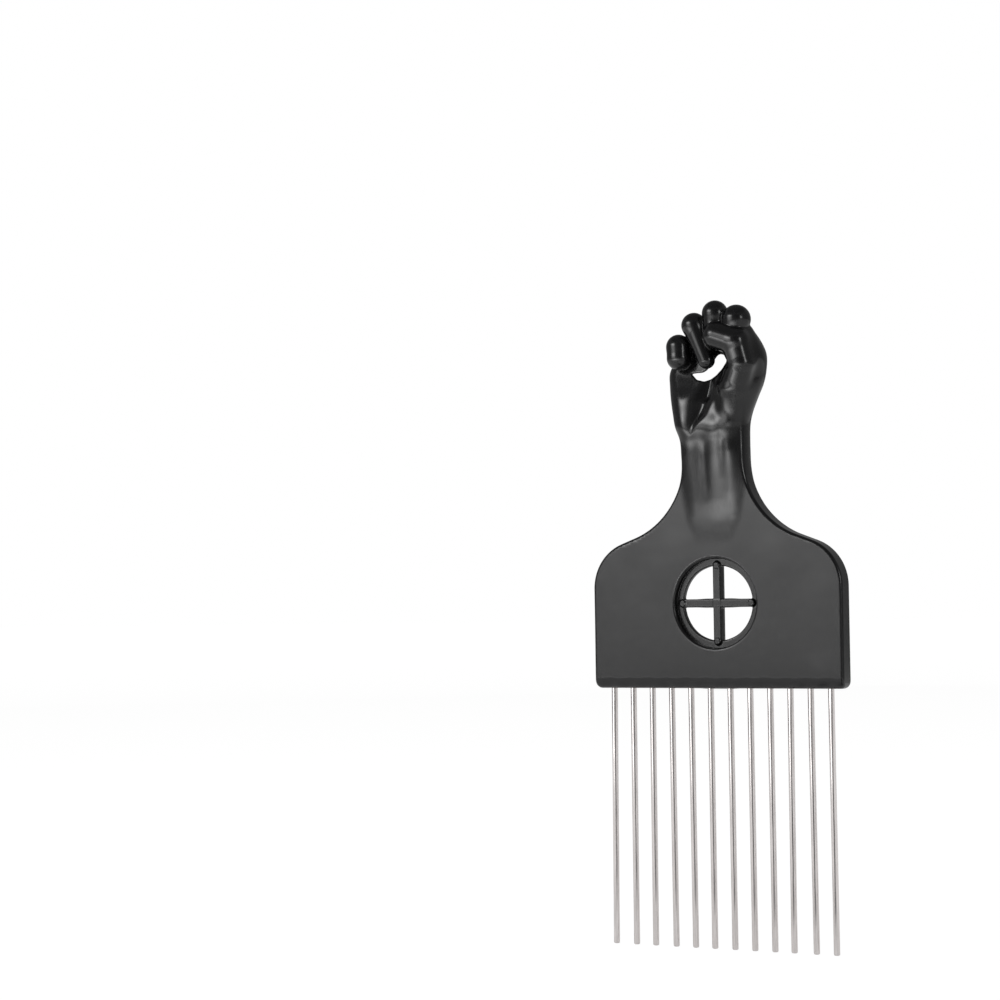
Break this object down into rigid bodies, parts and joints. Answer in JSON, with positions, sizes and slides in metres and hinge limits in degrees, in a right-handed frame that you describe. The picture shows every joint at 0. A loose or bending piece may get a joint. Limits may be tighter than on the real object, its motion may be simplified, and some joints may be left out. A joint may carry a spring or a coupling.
{
  "type": "afro pick",
  "caption": "Hair pick with a row of long steel wire tines in a flat black plastic plate, whose neck rises to a moulded clenched fist; a round window with a cross pierces the plate.",
  "frame": {"origin": "middle of the neck between the plate and the fist, where the neck is narrowest, on the mid-plane of the plate", "axes": "+Z from the tines up to the fist, -Y towards the palm side, +X to the thumb side"},
  "size_m": [0.08, 0.017, 0.1885],
  "materials": {
    "black_plastic": "glossy black injection moulding",
    "tine_steel": "bright drawn wire"
  },
  "bodies": {
    "root": {"handle": "black_plastic", "tine_01": "tine_steel", "tine_02": "tine_steel", "tine_03": "tine_steel", "tine_04": "tine_steel", "tine_05": "tine_steel", "tine_06": "tine_steel", "tine_07": "tine_steel", "tine_08": "tine_steel", "tine_09": "tine_steel", "tine_10": "tine_steel", "tine_11": "tine_steel", "tine_12": "tine_steel"}
  },
  "joints": []
}
